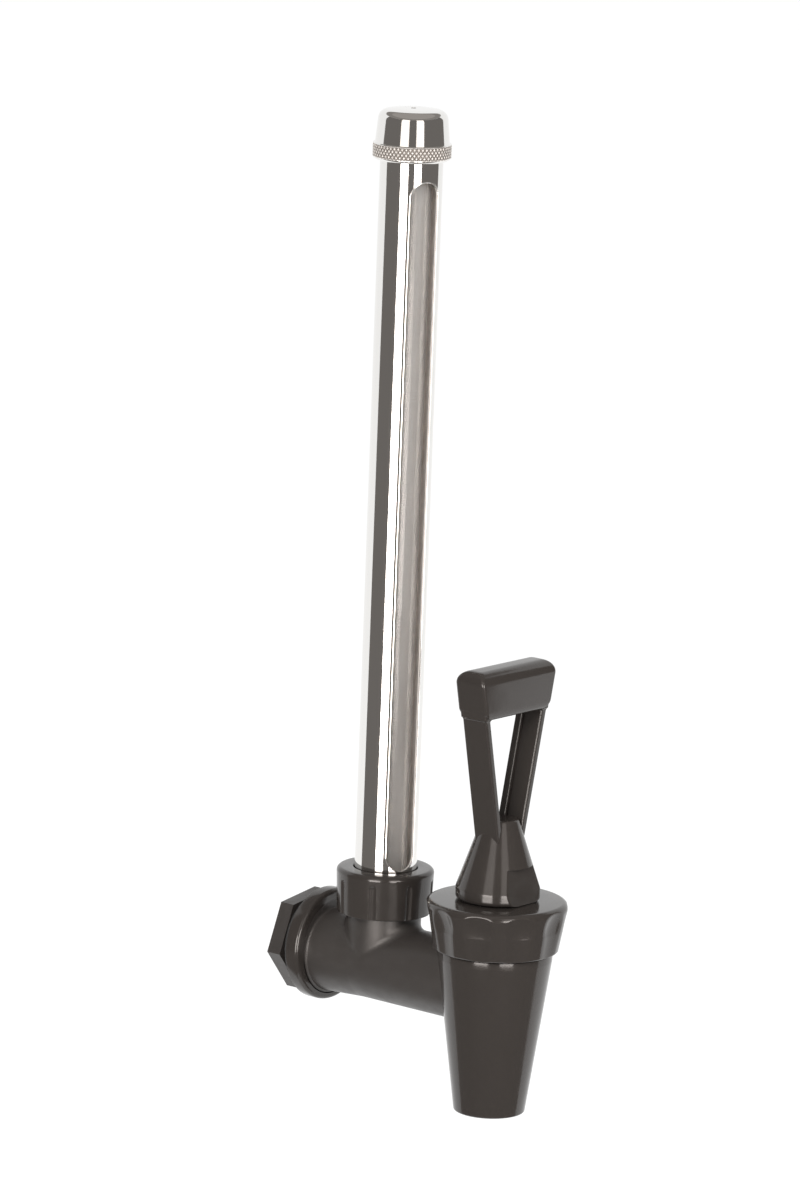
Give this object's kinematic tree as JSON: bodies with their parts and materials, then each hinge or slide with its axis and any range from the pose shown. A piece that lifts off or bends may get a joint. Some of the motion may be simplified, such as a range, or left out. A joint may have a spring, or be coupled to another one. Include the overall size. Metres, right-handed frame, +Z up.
{
  "type": "beverage dispenser spigot",
  "caption": "Self-closing black plastic spigot for a beverage dispenser, with a tip-forward handle, a tapered spout and a tall sight-glass level gauge in a slotted chrome shield.",
  "frame": {"origin": "on the shank's axis, where the flange's back meets the vessel's wall", "axes": "+Y along the shank into the vessel, +Z up along the gauge and the valve, -Y toward the user"},
  "size_m": [0.0432, 0.0998, 0.3],
  "materials": {
    "black_plastic": "gloss",
    "black_rubber": "matt",
    "chrome": "polished",
    "clear_tube": "clear",
    "silicone": "satin",
    "spring_steel": "drawn",
    "white_acetal": "satin"
  },
  "bodies": {
    "faucet": {"faucet_body": "black_plastic", "wall_washer": "black_rubber", "shank_nut": "black_plastic", "gauge_nut": "black_plastic", "gauge_gasket": "black_rubber", "gauge_shield": "chrome", "sight_tube": "clear_tube", "bonnet": "black_plastic"},
    "cap_seal": {"cap_gasket": "black_rubber"},
    "cap": {"gauge_cap": "chrome"},
    "valve": {"seat_cup": "silicone", "valve_spring": "spring_steel"},
    "stem": {"stem": "white_acetal"},
    "handle": {"handle": "black_plastic"}
  },
  "joints": [
    {"name": "cap_lift", "type": "slide", "parent": "faucet", "child": "cap_seal", "axis": [0, 0, 1], "range_m": [0, 0.005]},
    {"name": "cap_turn", "type": "hinge", "parent": "cap_seal", "child": "cap", "pos_m": [0, -0.02403, 0.25], "axis": [0, 0, 1], "range_deg": [0, 1801]},
    {"name": "cup_lift", "type": "slide", "parent": "faucet", "child": "valve", "axis": [0, 0, 1], "range_m": [0, 0.00459], "stiffness_N_per_m": 400, "springref_m": -0.004, "deforming": ["seat_cup", "valve_spring"]},
    {"name": "handle_swivel", "type": "hinge", "parent": "valve", "child": "stem", "pos_m": [0, -0.06805, 0.03], "axis": [0, 0, 1], "range_deg": [-90, 90]},
    {"name": "handle_tip", "type": "hinge", "parent": "stem", "child": "handle", "pos_m": [0, -0.06805, 0.03193], "axis": [1, 0, 0], "range_deg": [0, 28]}
  ],
  "couplings": [
    {"joint": "cap_turn", "follows": "cap_lift", "rad_per_m": 6283.2},
    {"joint": "handle_tip", "follows": "cup_lift", "rad_per_m": 106.38}
  ]
}
